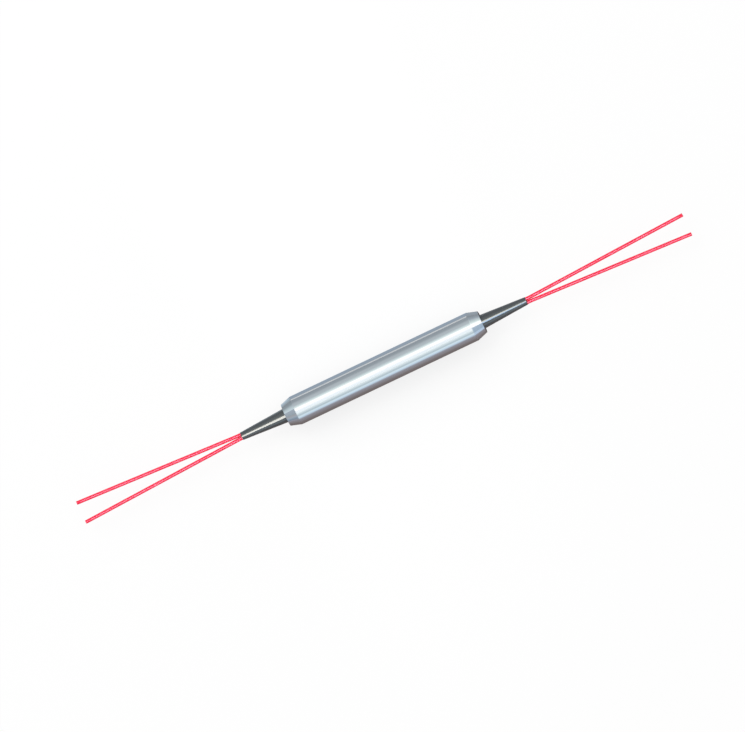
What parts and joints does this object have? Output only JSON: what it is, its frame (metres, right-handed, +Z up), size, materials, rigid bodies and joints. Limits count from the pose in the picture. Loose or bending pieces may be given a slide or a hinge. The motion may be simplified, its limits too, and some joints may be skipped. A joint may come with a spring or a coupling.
{
  "type": "polarization maintaining fibre coupler",
  "caption": "In-line fibre coupler: polished cylindrical housing with conical ends, tapered rubber boots and loose-tube fibre pigtails that leave each end in a narrow V.",
  "frame": {"origin": "centre of the housing, on its axis", "axes": "+X along the housing's axis towards the end that points right in the picture, +Z up as the coupler lies, so the paired pigtails spread along Y"},
  "size_m": [0.1664, 0.0074, 0.0074],
  "materials": {
    "polished_steel": "polished",
    "drawn_steel": "drawn",
    "boot_rubber": "satin",
    "red_loose_tube": "gloss",
    "fibre_coating": "gloss",
    "bare_glass": "clear",
    "quartz": "clear",
    "epoxy": "cured",
    "silicone": "satin",
    "ring_plastic": "turned"
  },
  "bodies": {
    "root": {"fused_fibre_pair": "bare_glass", "housing_tube": "polished_steel", "inner_steel_tube": "drawn_steel", "left_boot": "boot_rubber", "left_end_cap": "polished_steel", "left_fibre_bond": "epoxy", "left_inner_seal": "silicone", "left_lower_coated_fibre": "fibre_coating", "left_lower_pigtail_tube": "red_loose_tube", "left_sleeve_plug": "silicone", "left_support_ring": "ring_plastic", "left_tube_anchor": "epoxy", "left_upper_coated_fibre": "fibre_coating", "left_upper_pigtail_tube": "red_loose_tube", "quartz_sleeve": "quartz", "quartz_substrate": "quartz", "right_boot": "boot_rubber", "right_end_cap": "polished_steel", "right_fibre_bond": "epoxy", "right_inner_seal": "silicone", "right_lower_coated_fibre": "fibre_coating", "right_lower_pigtail_tube": "red_loose_tube", "right_sleeve_plug": "silicone", "right_support_ring": "ring_plastic", "right_tube_anchor": "epoxy", "right_upper_coated_fibre": "fibre_coating", "right_upper_pigtail_tube": "red_loose_tube"}
  },
  "joints": []
}
